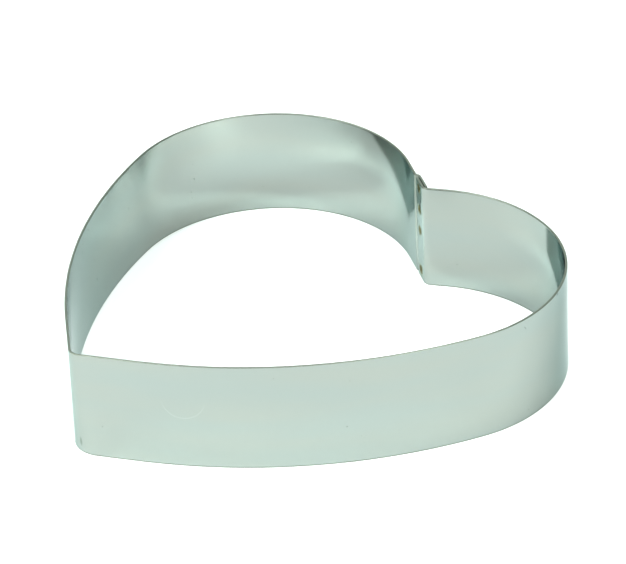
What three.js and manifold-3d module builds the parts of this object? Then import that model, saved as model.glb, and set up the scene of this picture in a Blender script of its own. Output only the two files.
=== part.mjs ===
// Heart mousse ring: one steel strip bent into a heart, lapped beside the notch and spot welded there.
// Millimetres, +Z up. The origin is under the middle of the ring, and +Y runs from the tip to the notch.
// Sizes in plan follow the middle of the strip's thickness and start at the sharp corner of the tip.
import * as THREE from 'three';
import { mergeVertices } from 'three/addons/utils/BufferGeometryUtils.js';
import Module from 'manifold-3d';

// Strip
const stripHeight = 45;
const stripThickness = 1;

// Heart outline; its two halves were bent by hand and differ a little
const lobeTop = 193.9;
const lobeRadius = 58.4;
const rightWidth = 102.9;
const rightSideRadius = 193;
const rightTipFlank = 24.4;
const rightNotchFlank = 8.7;
const leftWidth = 101;
const leftSideRadius = 218;
const leftTipFlank = 25.5;
const leftNotchFlank = 22.3;

// Folds at the tip and at the notch; the tip fold closes like a cone from the bottom edge to the top edge
const tipFoldBottomRadius = 11.7;
const tipFoldTopRadius = 5;
const notchFoldRadius = 2.8;

// Lap on the left flank of the notch: the inner layer lies flush, the outer layer steps out behind it
const lapLength = 9.4;
const lapGap = 0.3;
const joggleRadius = 2;
const innerEndClearance = 0.3;
const outerEndClearance = 0.15;

// Spot welds through both layers of the lap: one near the bottom edge, three in a row below the top edge
const weldDiameter = 4;
const weldClearance = 0.3;
const weldPitch = 9.8;
const weldTopMargin = 0.8;
const weldBottomMargin = 1.7;
const upperWelds = 3;
const weldSides = 32;

// How far a flat facet may lie inside the true curve
const chordError = 0.015;

const steel = new THREE.MeshStandardMaterial({ color: 0xc3d2ca, roughness: 0.28, metalness: 1 });
const temperedSteel = new THREE.MeshStandardMaterial({ color: 0x8d8466, roughness: 0.45, metalness: 1 });

const wasm = await Module();
wasm.setup();

function direction(angle) {
  return new THREE.Vector2(Math.cos(angle), Math.sin(angle));
}

// A half of the heart leaves the tip on a straight flank, follows the long side arc and ends in the lobe arc.
// The side arc touches the flank at the flank's end and the lobe circle from outside, which sets its slope.
function planHalf(width, sideRadius, tipFlank) {
  const lobeCentre = new THREE.Vector2(width - lobeRadius, lobeTop - lobeRadius);
  const reach = lobeCentre.length();
  const arm = Math.hypot(tipFlank, sideRadius);
  const spare = reach ** 2 + arm ** 2 - (sideRadius - lobeRadius) ** 2;
  const lean = Math.asin(spare / (2 * reach * arm)) - Math.atan2(tipFlank, sideRadius);
  const tipSlope = lobeCentre.angle() - lean;
  const sideCentre = direction(tipSlope).multiplyScalar(tipFlank);
  sideCentre.addScaledVector(direction(tipSlope + Math.PI / 2), sideRadius);
  const joint = lobeCentre.clone().sub(sideCentre).angle();
  const jointSlope = Math.atan2(Math.sin(joint), Math.cos(joint)) + Math.PI / 2;
  return { lobeCentre, tipSlope, jointSlope, sideTurn: jointSlope - tipSlope };
}

// The notch corner is where the two straight flanks meet, each a tangent of its lobe and of its own length.
function planNotch(rightLobe, leftLobe) {
  const right = Math.hypot(lobeRadius, rightNotchFlank);
  const left = Math.hypot(lobeRadius, leftNotchFlank);
  const spread = rightLobe.x + leftLobe.x;
  const x = rightLobe.x - (right ** 2 - left ** 2 + spread ** 2) / (2 * spread);
  const rise = Math.sqrt(right ** 2 - (rightLobe.x - x) ** 2);
  const slopeOf = (run, flank) => Math.atan2(lobeRadius, flank) - Math.atan2(rise, run);
  return {
    corner: new THREE.Vector2(x, rightLobe.y + rise),
    rightSlope: slopeOf(rightLobe.x - x, rightNotchFlank),
    leftSlope: slopeOf(leftLobe.x + x, leftNotchFlank),
  };
}

const rightHalf = planHalf(rightWidth, rightSideRadius, rightTipFlank);
const leftHalf = planHalf(leftWidth, leftSideRadius, leftTipFlank);
const notch = planNotch(rightHalf.lobeCentre, leftHalf.lobeCentre);
const tipTurn = rightHalf.tipSlope + leftHalf.tipSlope;
const notchTurn = notch.rightSlope + notch.leftSlope;
const tipFoldRun = tipFoldBottomRadius * Math.tan(tipTurn / 2);
const notchFoldRun = notchFoldRadius * Math.tan(notchTurn / 2);
const layerPitch = stripThickness + lapGap;

// Directions on the left flank: along it away from the notch corner, and out of the heart
const alongFlank = direction(Math.PI - notch.leftSlope);
const outOfFlank = direction(Math.PI / 2 - notch.leftSlope);

function onFlank(along, out) {
  return notch.corner.clone().addScaledVector(alongFlank, along).addScaledVector(outOfFlank, out);
}

// The outer layer ends just short of the notch fold that rises behind it
function outerLayerStart() {
  const foldFace = notchFoldRadius - stripThickness / 2;
  const depth = notchFoldRadius - layerPitch + stripThickness / 2;
  return notchFoldRun - Math.sqrt(Math.max(foldFace ** 2 - depth ** 2, 0)) + outerEndClearance;
}

const straight = (length) => ({ length });
const bend = (radius, turn, closing = 1) => ({ radius, turn, closing });

// Runs of the strip from the outer end of the lap, round the heart and back to the inner end
function stripRuns(start) {
  const joggleTurn = Math.acos(1 - layerPitch / (2 * joggleRadius));
  const joggleStart = lapLength + innerEndClearance;
  const joggleRun = 2 * joggleRadius * Math.sin(joggleTurn);
  const lobeTurn = (half, notchSlope) => notchSlope + Math.PI - half.jointSlope;
  return [
    straight(joggleStart - start),
    bend(joggleRadius, joggleTurn),
    bend(joggleRadius, -joggleTurn),
    straight(leftNotchFlank - joggleStart - joggleRun),
    bend(lobeRadius, lobeTurn(leftHalf, notch.leftSlope)),
    bend(leftSideRadius, leftHalf.sideTurn),
    straight(leftTipFlank - tipFoldRun),
    bend(tipFoldBottomRadius, tipTurn, tipFoldTopRadius / tipFoldBottomRadius),
    straight(rightTipFlank - tipFoldRun),
    bend(rightSideRadius, rightHalf.sideTurn),
    bend(lobeRadius, lobeTurn(rightHalf, notch.rightSlope)),
    straight(rightNotchFlank - notchFoldRun),
    bend(notchFoldRadius, -notchTurn),
    straight(lapLength - notchFoldRun),
  ];
}

// Stations along the middle of the strip: where its bottom is, which way it heads, and the closing, which is
// how near to the tip's corner its top lies, as a part of the distance at the bottom
function layStrip(start, heading, runs) {
  const stations = [{ point: start, heading, closing: 1 }];
  for (const { length, radius, turn, closing } of runs) {
    const from = stations.at(-1);
    if (radius === undefined) {
      const point = from.point.clone().addScaledVector(direction(from.heading), length);
      stations.push({ point, heading: from.heading, closing: 1 });
      continue;
    }
    from.closing = closing;
    const toCentre = Math.sign(turn) * Math.PI / 2;
    const centre = from.point.clone().addScaledVector(direction(from.heading + toCentre), radius);
    const steps = Math.ceil(Math.abs(turn) / (2 * Math.acos(1 - chordError / radius)));
    for (let step = 1; step <= steps; step += 1) {
      const heading = from.heading + turn * step / steps;
      const point = centre.clone().addScaledVector(direction(heading + toCentre), -radius);
      stations.push({ point, heading, closing });
    }
  }
  return stations;
}

// The flat strip is scored across once for each station and then bent, so that each score lies on its station
function stripGeometry() {
  const start = outerLayerStart();
  const stations = layStrip(onFlank(start, layerPitch), Math.PI - notch.leftSlope, stripRuns(start));
  const bays = stations.length - 1;
  const strip = new THREE.BoxGeometry(bays, stripThickness, stripHeight, bays, 1, 1);
  const corners = strip.attributes.position;
  for (let index = 0; index < corners.count; index += 1) {
    const { point, heading, closing } = stations[Math.round(corners.getX(index) + bays / 2)];
    const height = corners.getZ(index) + stripHeight / 2;
    const corner = point.clone().multiplyScalar(height > 0 ? closing : 1);
    corner.addScaledVector(direction(heading + Math.PI / 2), corners.getY(index));
    corners.setXYZ(index, corner.x, corner.y, height);
  }
  return strip;
}

// Round bar square to the lap, reaching past both of its faces by the overrun
function lapBar(diameter, overrun, z) {
  const length = layerPitch + stripThickness + 2 * overrun;
  const bar = new THREE.CylinderGeometry(diameter / 2, diameter / 2, length, weldSides);
  bar.rotateZ(-notch.leftSlope);
  const centre = onFlank((notchFoldRun + lapLength) / 2, layerPitch / 2);
  return bar.translate(centre.x, centre.y, z);
}

function toSolid(geometry) {
  geometry.deleteAttribute('normal');
  geometry.deleteAttribute('uv');
  const merged = mergeVertices(geometry);
  return new wasm.Manifold(new wasm.Mesh({
    numProp: 3,
    vertProperties: new Float32Array(merged.attributes.position.array),
    triVerts: new Uint32Array(merged.index.array),
  }));
}

function toGeometry(solid) {
  const { vertProperties, triVerts } = solid.getMesh();
  const geometry = new THREE.BufferGeometry();
  geometry.setAttribute('position', new THREE.BufferAttribute(vertProperties, 3));
  geometry.setIndex(new THREE.BufferAttribute(triVerts, 1));
  geometry.computeVertexNormals();
  return geometry;
}

function weldHeights() {
  const radius = weldDiameter / 2 + weldClearance;
  const highest = stripHeight - weldTopMargin - radius;
  const upper = Array.from({ length: upperWelds }, (_, row) => highest - row * weldPitch);
  return [...upper, weldBottomMargin + radius];
}

function bandGeometry() {
  const holeDiameter = weldDiameter + 2 * weldClearance;
  const holes = weldHeights().map((z) => toSolid(lapBar(holeDiameter, stripThickness, z)));
  return toGeometry(holes.reduce((band, hole) => band.subtract(hole), toSolid(stripGeometry())));
}

function named(name, geometry, material) {
  const mesh = new THREE.Mesh(geometry, material);
  mesh.name = name;
  return mesh;
}

const band = named('heart_band', bandGeometry(), steel);
const welds = weldHeights().map((z, row) => named(`spot_weld_${row + 1}`, lapBar(weldDiameter, 0, z), temperedSteel));

const ring = new THREE.Group();
ring.add(band, ...welds);
const middle = new THREE.Box3().setFromObject(band).getCenter(new THREE.Vector3());
ring.position.set(-middle.x, -middle.y, 0);

const model = new THREE.Group();
model.add(ring);
export default model;
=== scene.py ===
from math import acos, asin, atan2, ceil, cos, hypot, pi, radians, sin, sqrt, tan

import bmesh
import bpy
from mathutils import Matrix, Vector, noise


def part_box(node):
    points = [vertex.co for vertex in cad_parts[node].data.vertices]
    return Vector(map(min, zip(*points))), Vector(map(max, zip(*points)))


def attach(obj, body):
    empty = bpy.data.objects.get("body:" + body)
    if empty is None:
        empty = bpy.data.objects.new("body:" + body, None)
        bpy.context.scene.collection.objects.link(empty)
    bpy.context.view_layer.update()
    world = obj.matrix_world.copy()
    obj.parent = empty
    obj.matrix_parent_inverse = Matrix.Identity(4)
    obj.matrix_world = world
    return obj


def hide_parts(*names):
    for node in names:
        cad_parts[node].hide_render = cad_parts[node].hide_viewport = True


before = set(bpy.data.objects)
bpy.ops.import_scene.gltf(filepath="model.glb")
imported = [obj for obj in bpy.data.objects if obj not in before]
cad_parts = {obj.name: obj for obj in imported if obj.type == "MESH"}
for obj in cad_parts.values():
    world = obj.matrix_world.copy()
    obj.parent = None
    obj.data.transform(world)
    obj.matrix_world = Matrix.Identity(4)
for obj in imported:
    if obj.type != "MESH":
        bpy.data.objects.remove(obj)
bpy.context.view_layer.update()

# Band: one strip of bright rolled stainless sheet, a millimetre thick, stood on edge.
# It is folded at the tip and at the notch and rolled round for the lobes. Its ends lap on the left of the
# notch: the inner end lies flush with the lobe, and the outer end steps out behind it.
strip_thickness = 0.001
edge_rounding = 0.00035
end_rounding = 0.00008
heart_length = 0.1939
lobe_radius = 0.0584
right_width = 0.1029
right_side_radius = 0.193
right_tip_flank = 0.0244
right_notch_flank = 0.0087
left_width = 0.101
left_side_radius = 0.218
left_tip_flank = 0.0255
left_notch_flank = 0.0223
tip_fold_bottom_radius = 0.0117
tip_fold_top_radius = 0.005
notch_fold_radius = 0.0028
lap_length = 0.0094
lap_gap = 0.0003
joggle_radius = 0.002
inner_end_clearance = 0.0003
outer_end_clearance = 0.00015
up = Vector((0, 0, 1))


def heading_vector(angle):
    return Vector((cos(angle), sin(angle), 0))


# Plan of one half: a straight flank from the tip, the long side arc, then the lobe arc up to the notch flank.
# The halves were bent by hand and differ a little. Widths are measured from the sharp corner of the tip.
def half_slopes(width, side_radius, tip_flank):
    """Slopes of a half at the tip and where its side arc joins the lobe."""
    lobe_centre = Vector((width - lobe_radius, heart_length - lobe_radius, 0))
    arm = hypot(tip_flank, side_radius)
    spare = lobe_centre.length ** 2 + arm ** 2 - (side_radius - lobe_radius) ** 2
    lean = asin(spare / (2 * lobe_centre.length * arm)) - atan2(tip_flank, side_radius)
    tip_slope = atan2(lobe_centre.y, lobe_centre.x) - lean
    side_centre = heading_vector(tip_slope) * tip_flank + heading_vector(tip_slope + pi / 2) * side_radius
    return tip_slope, atan2(lobe_centre.y - side_centre.y, lobe_centre.x - side_centre.x) + pi / 2


band_low, band_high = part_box("heart_band")
strip_height = band_high.z - band_low.z
right_side_x = band_high.x - strip_thickness / 2
lobe_top_y = band_high.y - strip_thickness / 2
tip_corner = Vector((right_side_x - right_width, lobe_top_y - heart_length, 0))
right_tip_slope, right_joint_slope = half_slopes(right_width, right_side_radius, right_tip_flank)
left_tip_slope, left_joint_slope = half_slopes(left_width, left_side_radius, left_tip_flank)

# Plan of the notch: the two straight flanks, each a tangent of its lobe, meet at the notch corner.
right_reach = hypot(lobe_radius, right_notch_flank)
left_reach = hypot(lobe_radius, left_notch_flank)
lobe_spread = right_width + left_width - 2 * lobe_radius
right_run = (right_reach ** 2 - left_reach ** 2 + lobe_spread ** 2) / (2 * lobe_spread)
notch_rise = sqrt(right_reach ** 2 - right_run ** 2)
notch_corner = Vector((right_side_x - lobe_radius - right_run, lobe_top_y - lobe_radius + notch_rise, 0))
right_slope = atan2(lobe_radius, right_notch_flank) - atan2(notch_rise, right_run)
left_slope = atan2(lobe_radius, left_notch_flank) - atan2(notch_rise, lobe_spread - right_run)
along_flank = heading_vector(pi - left_slope)
out_of_flank = heading_vector(pi / 2 - left_slope)
layer_pitch = strip_thickness + lap_gap
tip_turn = right_tip_slope + left_tip_slope
tip_fold_run = tip_fold_bottom_radius * tan(tip_turn / 2)
notch_turn = right_slope + left_slope
notch_fold_run = notch_fold_radius * tan(notch_turn / 2)
fold_face = notch_fold_radius - strip_thickness / 2
fold_depth = notch_fold_radius - layer_pitch + strip_thickness / 2
outer_start = notch_fold_run - sqrt(fold_face ** 2 - fold_depth ** 2) + outer_end_clearance

# Runs of the strip as a pair of bend radius and turn, or of a straight length with no turn.
joggle_turn = acos(1 - layer_pitch / (2 * joggle_radius))
joggle_start = lap_length + inner_end_clearance
joggle_end = joggle_start + 2 * joggle_radius * sin(joggle_turn)
strip_runs = [
    (joggle_start - outer_start, 0),
    (joggle_radius, joggle_turn),
    (joggle_radius, -joggle_turn),
    (left_notch_flank - joggle_end, 0),
    (lobe_radius, left_slope + pi - left_joint_slope),
    (left_side_radius, left_joint_slope - left_tip_slope),
    (left_tip_flank - tip_fold_run, 0),
    (tip_fold_bottom_radius, tip_turn),
    (right_tip_flank - tip_fold_run, 0),
    (right_side_radius, right_joint_slope - right_tip_slope),
    (lobe_radius, right_slope + pi - right_joint_slope),
    (right_notch_flank - notch_fold_run, 0),
    (notch_fold_radius, -notch_turn),
    (lap_length - notch_fold_run, 0),
]

# The strip's end face is drawn first, with its four corners eased, and then swept run by run.
rows_up_the_strip = 56
longest_step = 0.002
fewest_steps = 12
rim_support = 0.0006
strip = bmesh.new()
along = strip.verts.layers.float.new("along")
heading = pi - left_slope
at = notch_corner + along_flank * outer_start + out_of_flank * layer_pitch
across = heading_vector(heading + pi / 2)
stand = Matrix((across * strip_thickness, up * strip_height, heading_vector(heading))).transposed().to_4x4()
stand.translation = at + up * strip_height / 2
bmesh.ops.create_grid(strip, x_segments=1, y_segments=rows_up_the_strip, size=0.5, matrix=stand)
corners = [vert for vert in strip.verts if len(vert.link_edges) == 2]
bmesh.ops.bevel(strip, geom=corners, offset=edge_rounding, segments=4, profile=0.5,
                affect="VERTICES", material=-1)
for height in (rim_support, strip_height - rim_support):
    bmesh.ops.bisect_plane(strip, geom=strip.verts[:] + strip.edges[:] + strip.faces[:],
                           plane_co=up * height, plane_no=up)
front = strip.verts[:] + strip.edges[:] + strip.faces[:]
first_end = [edge for edge in strip.edges if edge.is_boundary]
distance = 0
for size, turn in strip_runs:
    length = abs(turn) * size if turn else size
    steps = max(ceil(length / longest_step), fewest_steps)
    centre = at + heading_vector(heading + (pi / 2 if turn >= 0 else -pi / 2)) * size
    travel = Vector() if turn else heading_vector(heading) * size / steps
    for step in range(steps):
        swept = bmesh.ops.spin(strip, geom=front, cent=centre, axis=up, dvec=travel,
                               angle=turn / steps, steps=1)
        front = swept["geom_last"]
        distance += length / steps
        for vert in front:
            if isinstance(vert, bmesh.types.BMVert):
                vert[along] = distance
    if turn:
        at = centre + Matrix.Rotation(turn, 3, "Z") @ (at - centre)
    else:
        at = at + heading_vector(heading) * size
    heading += turn
last_faces = {face for face in front if isinstance(face, bmesh.types.BMFace)}
last_end = [edge for edge in front if isinstance(edge, bmesh.types.BMEdge)
            and len(last_faces.intersection(edge.link_faces)) == 1]
bmesh.ops.recalc_face_normals(strip, faces=strip.faces[:])
bmesh.ops.bevel(strip, geom=first_end + last_end, offset=end_rounding, segments=2, profile=0.5,
                affect="EDGES", material=-1)

# The tip fold closes like a cone: higher up it is the same bend drawn smaller about the corner of the flanks.
fold_margin = 0.0001
fold_axis = heading_vector(pi / 2 + (right_tip_slope - left_tip_slope) / 2)
fold_centre = tip_corner + fold_axis * tip_fold_bottom_radius / cos(tip_turn / 2)
for vert in strip.verts:
    arm = Vector((vert.co.x, vert.co.y, 0)) - fold_centre
    if arm.angle(-fold_axis) < tip_turn / 2 + fold_margin:
        closing = (tip_fold_top_radius / tip_fold_bottom_radius - 1) * vert.co.z / strip_height
        vert.co += (fold_centre + arm.normalized() * tip_fold_bottom_radius - tip_corner) * closing

# Sheet that is bent by hand is never quite true: it wanders by a few hundredths of a millimetre, and is then
# drawn in by as little as keeps the widest places in line with the measured size.
wander = 0.00006
wander_length = 0.03
wander_seed = 2
noise.seed_set(wander_seed)
for vert in strip.verts:
    drift = noise.noise_vector(vert.co / wander_length) * wander
    vert.co += Vector((drift.x, drift.y, 0))
widest = max(abs(vert.co.x) for vert in strip.verts)
longest = max(abs(vert.co.y) for vert in strip.verts)
bmesh.ops.scale(strip, verts=strip.verts[:], vec=(band_high.x / widest, band_high.y / longest, 1))

# Electrodes leave a shallow dent on both faces of the lap at each spot weld.
weld_names = ["spot_weld_1", "spot_weld_2", "spot_weld_3", "spot_weld_4"]
weld_centres = []
for name in weld_names:
    weld_low, weld_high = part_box(name)
    weld_centres.append((weld_low + weld_high) / 2)
dent_radius = 0.0027
dent_depth = 0.00016
lap_face = (layer_pitch + strip_thickness) / 2
face_tolerance = strip_thickness / 4
for vert in strip.verts:
    for centre in weld_centres:
        offset = vert.co - centre
        out = offset.dot(out_of_flank)
        share = hypot(offset.dot(along_flank), offset.z) / dent_radius
        if share < 1 and abs(abs(out) - lap_face) < face_tolerance:
            vert.co -= out_of_flank * (dent_depth * (1 - share ** 2) ** 2 * (1 if out > 0 else -1))

# The sheet's own map: distance along the strip and height, both in metres.
strip_map = strip.loops.layers.uv.new("strip_map")
for face in strip.faces:
    for loop in face.loops:
        loop[strip_map].uv = (loop.vert[along], loop.vert.co.z)
strip.verts.layers.float.remove(along)
bmesh.ops.recalc_face_normals(strip, faces=strip.faces[:])
band_mesh = bpy.data.meshes.new("bent_strip")
strip.to_mesh(band_mesh)
strip.free()
band_mesh.shade_smooth()
band = bpy.data.objects.new("bent_strip", band_mesh)
bpy.context.scene.collection.objects.link(band)


class Finish:
    """A shader socket that takes part in sums, and makes the other nodes of its tree."""

    def __init__(self, tree, socket=None):
        self.tree = tree
        self.socket = socket

    def feed(self, socket, value):
        if isinstance(value, Finish):
            self.tree.links.new(value.socket, socket)
        else:
            socket.default_value = value

    def node(self, kind, settings=None, sockets=None, output=0):
        made = self.tree.nodes.new("ShaderNode" + kind)
        for name, value in (settings or {}).items():
            setattr(made, name, value)
        for name, value in (sockets or {}).items():
            self.feed(made.inputs[name], value)
        return Finish(self.tree, made.outputs[output])

    def sum(self, operation, first, second):
        return self.node("Math", {"operation": operation}, {0: first, 1: second})

    def __add__(self, other):
        return self.sum("ADD", self, other)

    def __radd__(self, other):
        return self.sum("ADD", other, self)

    def __rsub__(self, other):
        return self.sum("SUBTRACT", other, self)

    def __mul__(self, other):
        return self.sum("MULTIPLY", self, other)

    def __rmul__(self, other):
        return self.sum("MULTIPLY", other, self)


def fade(value, start, end):
    """Nought before start, one after end, and smooth between them."""
    return value.node("MapRange", {"interpolation_type": "SMOOTHSTEP"},
                      {"Value": value, "From Min": start, "From Max": end})


def between(value, rise, fall):
    """One from the end of the rise to the start of the fall, nought outside them."""
    return fade(value, *rise) * (1 - fade(value, *fall))


def tinted(mask, colour, other):
    """The colour where the mask is nought, and the other one where it is one."""
    return mask.node("Mix", {"data_type": "RGBA"}, {0: mask, 6: colour, 7: other}, 2)


def cloudy(vector, scale, detail=2.0):
    """Noise from nought to one, with so many clouds to the unit."""
    return vector.node("TexNoise", None, {"Vector": vector, "Scale": scale, "Detail": detail})


def distance_from(vector, point):
    return vector.node("VectorMath", {"operation": "DISTANCE"}, {0: vector, 1: point}, "Value")


# Bright rolled finish: a soft mirror with a green cast, faint rolling lines, hazy patches and fine specks.
# The cut edges are dull and warm, painted contact shade darkens the bottom edge, and heat has left straw
# halos round the welds.
cool_steel = (0.272, 0.304, 0.287, 1)
warm_steel = (0.283, 0.304, 0.280, 1)
grazing_steel = (0.680, 0.770, 0.765, 1)
cut_steel = (0.205, 0.222, 0.185, 1)
# Dark colour for the cut ends, and for the painted shade beside the lap and along the bottom edge.
cut_end_and_painted_shade = (0.130, 0.145, 0.110, 1)
straw_steel = (0.230, 0.240, 0.140, 1)
scratch_steel = (0.420, 0.450, 0.430, 1)
speck_steel = (0.120, 0.130, 0.110, 1)
bruise_steel = (0.100, 0.120, 0.100, 1)
grain_stretch = (14, 1500, 1)
streak_stretch = (11, 70, 1)
streak_levels = (0.3, 0.7)
haze_scale = 26.0
haze_levels = (0.35, 0.7)
speck_scale = 700.0
speck_levels = (0.74, 0.8)
speck_group_scale = 60.0
speck_group_levels = (0.5, 0.6)
edge_width = (0.0001, 0.0004)
# Height of the painted contact shade along the bottom edge.
painted_contact_shade_width = (0.0003, 0.0007)
halo_strength = [1.0, 0.35, 0.45, 0.9]
halo_width = (0.0021, 0.0036)
steel = bpy.data.materials.new("bright_steel")
steel.use_nodes = True
sheet = Finish(steel.node_tree)
place = sheet.node("TexCoord", None, None, "Object")
on_strip = sheet.node("UVMap", {"uv_map": "strip_map"})
grain = cloudy(sheet.node("Mapping", None, {"Vector": on_strip, "Scale": grain_stretch}), 1.0)
streak = cloudy(sheet.node("Mapping", None, {"Vector": on_strip, "Scale": streak_stretch}), 1.0, 3.0)
haze = fade(cloudy(place, haze_scale, 4.0), *haze_levels)
speck_groups = fade(cloudy(place, speck_group_scale, 1.0), *speck_group_levels)
specks = fade(cloudy(place, speck_scale, 1.0), *speck_levels) * speck_groups
reach = sheet.node("SeparateXYZ", None, {"Vector": on_strip}, "X")
height = sheet.node("SeparateXYZ", None, {"Vector": on_strip}, "Y")
from_edge = sheet.sum("MINIMUM", height, strip_height - height)
from_end = sheet.sum("MINIMUM", reach, distance - reach)
cut_edge = 1 - fade(from_edge, *edge_width)
cut_end = 1 - fade(from_end, *edge_width)
# Painted contact shade: darker along the bottom edge, where the table meets it.
painted_contact_shade = 1 - fade(height, *painted_contact_shade_width)
heat = 0
for centre, strength in zip(weld_centres, halo_strength):
    heat = heat + strength * (1 - fade(distance_from(place, centre), *halo_width))

# Wear, bending and painted shade: the left side is duller and bows a little towards its top edge, painted
# shade runs up beside the lap, the near wall has a faint curved scratch, and the tip and the right rim have a
# bruise each.
# Starts and ends are distances along the strip, and heights are measured from the bottom edge.
dull_start = (0.116, 0.130)
dull_end = (0.190, 0.220)
bow_start = (0.104, 0.130)
bow_end = (0.152, 0.190)
bow_height = (0.026, 0.058)
bow_rise = 0.0018
wave_scale = 38.0
wave_rise = 0.0003
painted_lap_shade_start = (0.006, 0.008)
painted_lap_shade_end = (0.0125, 0.014)
painted_lap_shade_height = (0.005, 0.04)
scratch_centre = (0.3565, 0.030, 0)
scratch_inside = (0.0081, 0.0084)
scratch_outside = (0.0084, 0.0087)
scratch_top = (0.024, 0.031)
bruise_width = (0.4, 1.1)
bruises = [
    (Vector((-0.0005, -0.0955, 0.0048)), (1200, 1200, 420), 0.6),
    (Vector((0.0969, 0.0628, 0.0441)), (1000, 1000, 1500), 1.0),
]
dull = between(reach, dull_start, dull_end)
bowed = fade(height, *bow_height) * between(reach, bow_start, bow_end)
# Painted shade beside the lap step, growing towards the top edge.
painted_lap_shade = between(reach, painted_lap_shade_start, painted_lap_shade_end) * fade(height, *painted_lap_shade_height)
scratch_arc = between(distance_from(on_strip, scratch_centre), scratch_inside, scratch_outside)
scratch = scratch_arc * (1 - fade(height, *scratch_top))
bruise = 0
for centre, stretch, strength in bruises:
    spot = sheet.node("Mapping", None, {"Vector": place, "Scale": stretch})
    middle = [part * scale for part, scale in zip(centre, stretch)]
    bruise = bruise + strength * (1 - fade(distance_from(spot, middle), *bruise_width))

# Each mark is laid over the ones before it, and adds its share to the roughness.
marks = [
    (scratch * 0.25, scratch_steel),
    (bruise, bruise_steel),
    (specks * 0.4, speck_steel),
    (heat * 0.7, straw_steel),
    # painted shade beside the lap
    (painted_lap_shade * 0.5, cut_end_and_painted_shade),
    (cut_edge, cut_steel),
    (cut_end * 0.6, cut_end_and_painted_shade),
    # painted contact shade along the bottom edge
    (painted_contact_shade, cut_end_and_painted_shade),
]
colour = tinted(fade(streak, *streak_levels), cool_steel, warm_steel)
for mask, mark_colour in marks:
    colour = tinted(mask, colour, mark_colour)
roughness = 0.07 + haze * 0.04 + grain * 0.04 + specks * 0.2
roughness = roughness + heat * 0.08 + cut_edge * 0.38 + dull * 0.09 + bowed * 0.04
ripple = cloudy(place, wave_scale, 0.0) * wave_rise
waves = sheet.node("Bump", None, {"Height": ripple + bowed * bow_rise, "Strength": 1.0, "Distance": 1.0})
lines = sheet.node("Bump", None, {"Height": grain, "Strength": 0.04, "Distance": 0.0002, "Normal": waves})
shader = steel.node_tree.nodes["Principled BSDF"]
shader.inputs["Metallic"].default_value = 1
shader.inputs["Specular Tint"].default_value = grazing_steel
sheet.feed(shader.inputs["Base Color"], colour)
sheet.feed(shader.inputs["Roughness"], roughness)
sheet.feed(shader.inputs["Normal"], lines)
band_mesh.materials.append(steel)
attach(band, "root")
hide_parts("heart_band")

# Spot welds: four nuggets where the two layers of the lap were fused between round electrodes.
# Each shows on both faces as a shallow dish with a low ring round it, coloured by the heat: three lie in a
# row below the top edge and one lies near the bottom edge.
weld_radius = 0.002
weld_sides = 40
dish_depth = 0.00006
ring_rise = 0.00004
dish_profile = [(0.0, -1.0), (0.35, -0.85), (0.6, -0.4), (0.78, 0.1), (0.9, 0.3), (1.0, 0.0), (1.04, -1.2)]
merge_distance = 1e-7
black_heat = (0.09, 0.085, 0.05, 1)
brown_heat = (0.12, 0.10, 0.07, 1)
pale_heat = (0.19, 0.20, 0.14, 1)
grazing_heat = (0.45, 0.42, 0.32, 1)
mottle_scale = 900.0
patch_scale = 260.0
patch_levels = (0.4, 0.6)
pale_width = (0.3, 0.8)
weld_steel = bpy.data.materials.new("weld_steel")
weld_steel.use_nodes = True
fused = Finish(weld_steel.node_tree)
weld_place = fused.node("TexCoord", None, None, "Object")
on_weld = fused.node("UVMap", {"uv_map": "weld_map"})
spread = fused.node("VectorMath", {"operation": "LENGTH"}, {0: on_weld}, "Value")
mottle = cloudy(weld_place, mottle_scale, 3.0)
burnt = tinted(fade(cloudy(weld_place, patch_scale), *patch_levels), black_heat, brown_heat)
weld_colour = tinted(fade(spread + mottle * 0.4, *pale_width), burnt, pale_heat)
pits = fused.node("Bump", None, {"Height": mottle, "Strength": 0.25, "Distance": 0.0001})
weld_shader = weld_steel.node_tree.nodes["Principled BSDF"]
weld_shader.inputs["Metallic"].default_value = 1
weld_shader.inputs["Specular Tint"].default_value = grazing_heat
fused.feed(weld_shader.inputs["Base Color"], weld_colour)
fused.feed(weld_shader.inputs["Roughness"], 0.16 + mottle * 0.2)
fused.feed(weld_shader.inputs["Normal"], pits)
weld_turn = Matrix((along_flank, up, -out_of_flank)).transposed().to_4x4()
for name, centre in zip(weld_names, weld_centres):
    nugget = bmesh.new()
    dish = [(share * weld_radius, lap_face + rise * (dish_depth if rise < 0 else ring_rise))
            for share, rise in dish_profile]
    outline = dish + [(radius, -level) for radius, level in reversed(dish)]
    points = [nugget.verts.new((radius, 0, level)) for radius, level in outline]
    edges = [nugget.edges.new(pair) for pair in zip(points, points[1:])]
    bmesh.ops.spin(nugget, geom=points + edges, cent=(0, 0, 0), axis=(0, 0, 1), angle=2 * pi,
                   steps=weld_sides, use_merge=True)
    bmesh.ops.remove_doubles(nugget, verts=nugget.verts[:], dist=merge_distance)
    bmesh.ops.recalc_face_normals(nugget, faces=nugget.faces[:])
    weld_map = nugget.loops.layers.uv.new("weld_map")
    for face in nugget.faces:
        for loop in face.loops:
            loop[weld_map].uv = (loop.vert.co.x / weld_radius, loop.vert.co.y / weld_radius)
    bmesh.ops.transform(nugget, verts=nugget.verts[:], matrix=Matrix.Translation(centre) @ weld_turn)
    nugget_mesh = bpy.data.meshes.new(name + "_mark")
    nugget.to_mesh(nugget_mesh)
    nugget.free()
    nugget_mesh.shade_smooth()
    nugget_mesh.materials.append(weld_steel)
    mark = bpy.data.objects.new(name + "_mark", nugget_mesh)
    bpy.context.scene.collection.objects.link(mark)
    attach(mark, "root")
    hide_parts(name)

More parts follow.
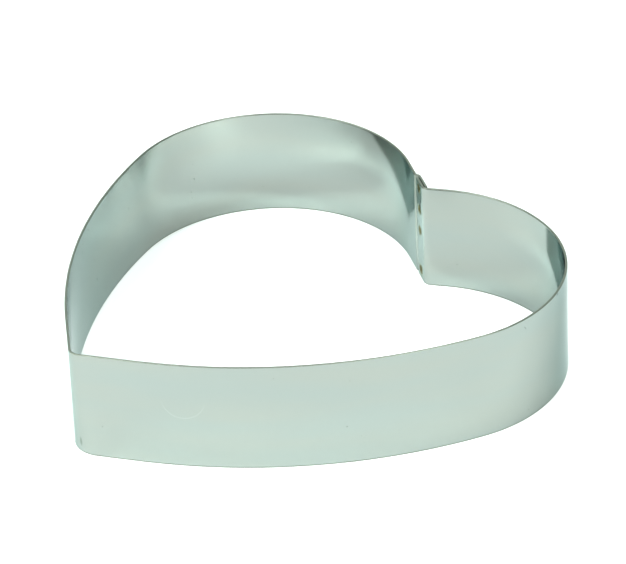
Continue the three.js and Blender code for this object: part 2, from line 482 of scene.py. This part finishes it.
# Floor: a plain white table top, wide enough to fill the view.
floor_half_width = 4
floor_white = (0.95, 0.95, 0.95, 1)
table = bmesh.new()
bmesh.ops.create_grid(table, x_segments=1, y_segments=1, size=floor_half_width)
floor_mesh = bpy.data.meshes.new("table_top")
table.to_mesh(floor_mesh)
table.free()
floor = bpy.data.objects.new("table_top", floor_mesh)
bpy.context.scene.collection.objects.link(floor)
white = bpy.data.materials.new("white_table")
white.use_nodes = True
white_shader = white.node_tree.nodes["Principled BSDF"]
white_shader.inputs["Base Color"].default_value = floor_white
white_shader.inputs["Roughness"].default_value = 1
white_shader.inputs["Specular IOR Level"].default_value = 0
floor_mesh.materials.append(white)

# Light: two soft boxes on the camera's left and two on its right, two larger and dimmer ones behind the ring,
# one overhead and a wide low panel at the back, in a dim room. Each is given its bearing from +X and its
# height angle in degrees, its width and height in metres, and its power in watts.
soft_boxes = {
    "left_box": (270, 44, 0.7, 0.7, 31.5),
    "left_front_box": (246, 38, 0.7, 0.7, 29),
    "right_box": (0, 44, 0.7, 0.7, 28.5),
    "right_low_box": (352, 32, 0.7, 0.7, 19),
    "rear_right_box": (90, 56, 1.4, 1.4, 5.9),
    "rear_left_box": (149, 54, 1.4, 1.4, 6.8),
    "top_box": (225, 78, 1.4, 1.4, 9.2),
    "back_panel": (140, 20, 3.4, 1.0, 17),
}
lamp_tint = (0.915, 1.0, 0.975)
box_distance = 2
for name, (bearing, climb, width, tallness, power) in soft_boxes.items():
    box = bpy.data.lights.new(name, "AREA")
    box.shape = "RECTANGLE"
    box.size = width
    box.size_y = tallness
    box.energy = power
    box.color = lamp_tint
    lamp = bpy.data.objects.new(name, box)
    to_box = heading_vector(radians(bearing)) * cos(radians(climb)) + up * sin(radians(climb))
    lamp.location = to_box * box_distance
    lamp.rotation_euler = (-to_box).to_track_quat("-Z", "Y").to_euler()
    bpy.context.scene.collection.objects.link(lamp)
# The lobes throw bright patches on the table that show again in the walls, so this light isn't blurred.
bpy.context.scene.cycles.blur_glossy = 0
room_tint = (0.9, 1.0, 0.95, 1)
room_strength = 0.05
room = bpy.data.worlds.new("dim_room")
room.use_nodes = True
room.node_tree.nodes["Background"].inputs["Color"].default_value = room_tint
room.node_tree.nodes["Background"].inputs["Strength"].default_value = room_strength
bpy.context.scene.world = room

# Camera: a long lens from the right front, looking down on the ring, rolled a little.
azimuth = radians(49.934)
elevation = radians(31.341)
roll = radians(-2.540)
aim = Vector((-0.00065, 0.02334, 0.0244))
stand_off = 1.7392
lens = bpy.data.cameras.new("camera")
lens.sensor_width = 36
lens.lens = 254.09
camera = bpy.data.objects.new("camera", lens)
back = Vector((sin(azimuth) * cos(elevation), -cos(azimuth) * cos(elevation), sin(elevation)))
level_view = (-back).to_track_quat("-Z", "Y")
camera.location = aim + back * stand_off
camera.rotation_mode = "QUATERNION"
camera.rotation_quaternion = level_view @ Matrix.Rotation(roll, 3, "Z").to_quaternion()
bpy.context.scene.collection.objects.link(camera)
bpy.context.scene.camera = camera
bpy.context.scene.view_settings.view_transform = "Standard"
